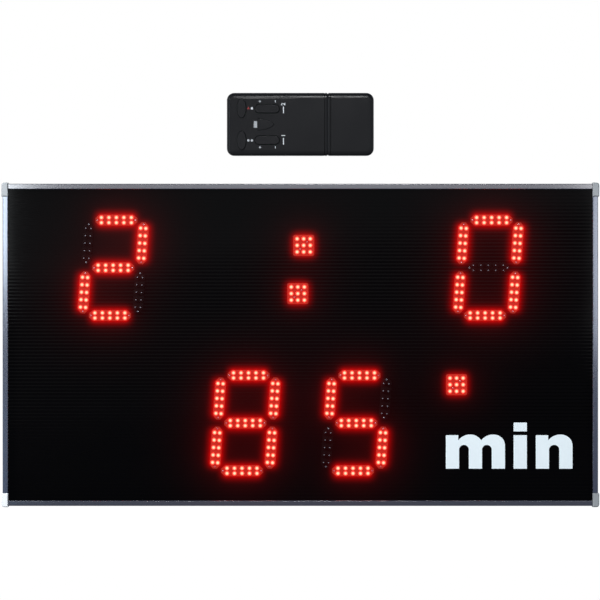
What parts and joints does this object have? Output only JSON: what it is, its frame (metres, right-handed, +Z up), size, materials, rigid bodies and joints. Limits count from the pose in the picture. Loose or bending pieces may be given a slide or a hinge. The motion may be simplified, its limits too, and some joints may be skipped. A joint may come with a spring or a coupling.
{
  "type": "electronic scoreboard",
  "caption": "Framed LED scoreboard with seven-segment score and minute digits, a colon and hanger plates, and its hand remote with push keys, rocker keys and a slide-off battery cover.",
  "frame": {"origin": "bottom centre of the bounding box, on the surface that the board stands on", "axes": "+X to the right as seen from the front, +Y to the back, so the display faces -Y, +Z up"},
  "size_m": [0.711, 0.047, 0.4929],
  "materials": {
    "lamp_module": "black module board with clear red lamps",
    "rail_metal": "satin extruded rail",
    "cap_plastic": "grey moulded cap",
    "front_sheet": "finely ribbed near-black sheet with a soft sheen",
    "back_sheet": "dark flat sheet",
    "hanger_metal": "zinc-plated plate",
    "fitting_plastic": "black moulded fitting",
    "circuit": "green circuit board",
    "handset_case": "charcoal, finely textured",
    "handset_keys": "charcoal, smoother than the case",
    "cell_jacket": "plain wrapped cell"
  },
  "bodies": {
    "board": {"front_sheet": "front_sheet", "back_sheet": "back_sheet", "top_rail": "rail_metal", "bottom_rail": "rail_metal", "left_rail": "rail_metal", "right_rail": "rail_metal", "corner_cap_upper_left": "cap_plastic", "corner_cap_upper_right": "cap_plastic", "corner_cap_lower_left": "cap_plastic", "corner_cap_lower_right": "cap_plastic", "left_score_top_bar": "lamp_module", "left_score_upper_left_bar": "lamp_module", "left_score_upper_right_bar": "lamp_module", "left_score_middle_bar": "lamp_module", "left_score_lower_left_bar": "lamp_module", "left_score_lower_right_bar": "lamp_module", "left_score_bottom_bar": "lamp_module", "right_score_top_bar": "lamp_module", "right_score_upper_left_bar": "lamp_module", "right_score_upper_right_bar": "lamp_module", "right_score_middle_bar": "lamp_module", "right_score_lower_left_bar": "lamp_module", "right_score_lower_right_bar": "lamp_module", "right_score_bottom_bar": "lamp_module", "minute_tens_top_bar": "lamp_module", "minute_tens_upper_left_bar": "lamp_module", "minute_tens_upper_right_bar": "lamp_module", "minute_tens_middle_bar": "lamp_module", "minute_tens_lower_left_bar": "lamp_module", "minute_tens_lower_right_bar": "lamp_module", "minute_tens_bottom_bar": "lamp_module", "minute_units_top_bar": "lamp_module", "minute_units_upper_left_bar": "lamp_module", "minute_units_upper_right_bar": "lamp_module", "minute_units_middle_bar": "lamp_module", "minute_units_lower_left_bar": "lamp_module", "minute_units_lower_right_bar": "lamp_module", "minute_units_bottom_bar": "lamp_module", "colon_upper_dot": "lamp_module", "colon_lower_dot": "lamp_module", "prime_dot": "lamp_module", "hanger_left": "hanger_metal", "hanger_right": "hanger_metal", "power_switch_housing": "fitting_plastic", "power_inlet": "fitting_plastic", "controller_board": "circuit", "receiver_module": "circuit"},
    "power_switch_rocker": {"power_switch_rocker": "fitting_plastic"},
    "handset": {"case_front": "handset_case", "case_back": "handset_case", "handset_circuit": "circuit", "battery_cell_1": "cell_jacket", "battery_cell_2": "cell_jacket", "battery_bridge": "hanger_metal"},
    "battery_cover": {"battery_cover": "handset_case"},
    "start_stop_button": {"start_stop_button": "handset_keys"},
    "set_reset_button": {"set_reset_button": "handset_keys"},
    "mode_button": {"mode_button": "handset_keys"},
    "team_2_rocker": {"team_2_rocker": "handset_keys"},
    "team_1_rocker": {"team_1_rocker": "handset_keys"}
  },
  "joints": [
    {"name": "power_switch_tip", "type": "hinge", "parent": "board", "child": "power_switch_rocker", "pos_m": [0.03, 0.02013, 0.053], "axis": [1, 0, 0], "range_deg": [-20, 0]},
    {"name": "handset_pick_up", "type": "slide", "parent": "board", "child": "handset", "axis": [0, -1, 0], "range_m": [0, 0.12]},
    {"name": "battery_cover_slide", "type": "slide", "parent": "handset", "child": "battery_cover", "axis": [1, 0, 0], "range_m": [0, 0.05]},
    {"name": "start_stop_press", "type": "slide", "parent": "handset", "child": "start_stop_button", "axis": [0, 1, 0], "range_m": [0, 0.0008], "stiffness_N_per_m": 1200},
    {"name": "set_reset_press", "type": "slide", "parent": "handset", "child": "set_reset_button", "axis": [0, 1, 0], "range_m": [0, 0.0008], "stiffness_N_per_m": 1200},
    {"name": "mode_press", "type": "slide", "parent": "handset", "child": "mode_button", "axis": [0, 1, 0], "range_m": [0, 0.0008], "stiffness_N_per_m": 1200},
    {"name": "team_2_tip", "type": "hinge", "parent": "handset", "child": "team_2_rocker", "pos_m": [-0.0395, 0.0031, 0.4741], "axis": [0, 0, 1], "range_deg": [-3.5, 3.5], "stiffness_Nm_per_rad": 0.2},
    {"name": "team_1_tip", "type": "hinge", "parent": "handset", "child": "team_1_rocker", "pos_m": [-0.0395, 0.0031, 0.4367], "axis": [0, 0, 1], "range_deg": [-3.5, 3.5], "stiffness_Nm_per_rad": 0.2}
  ]
}
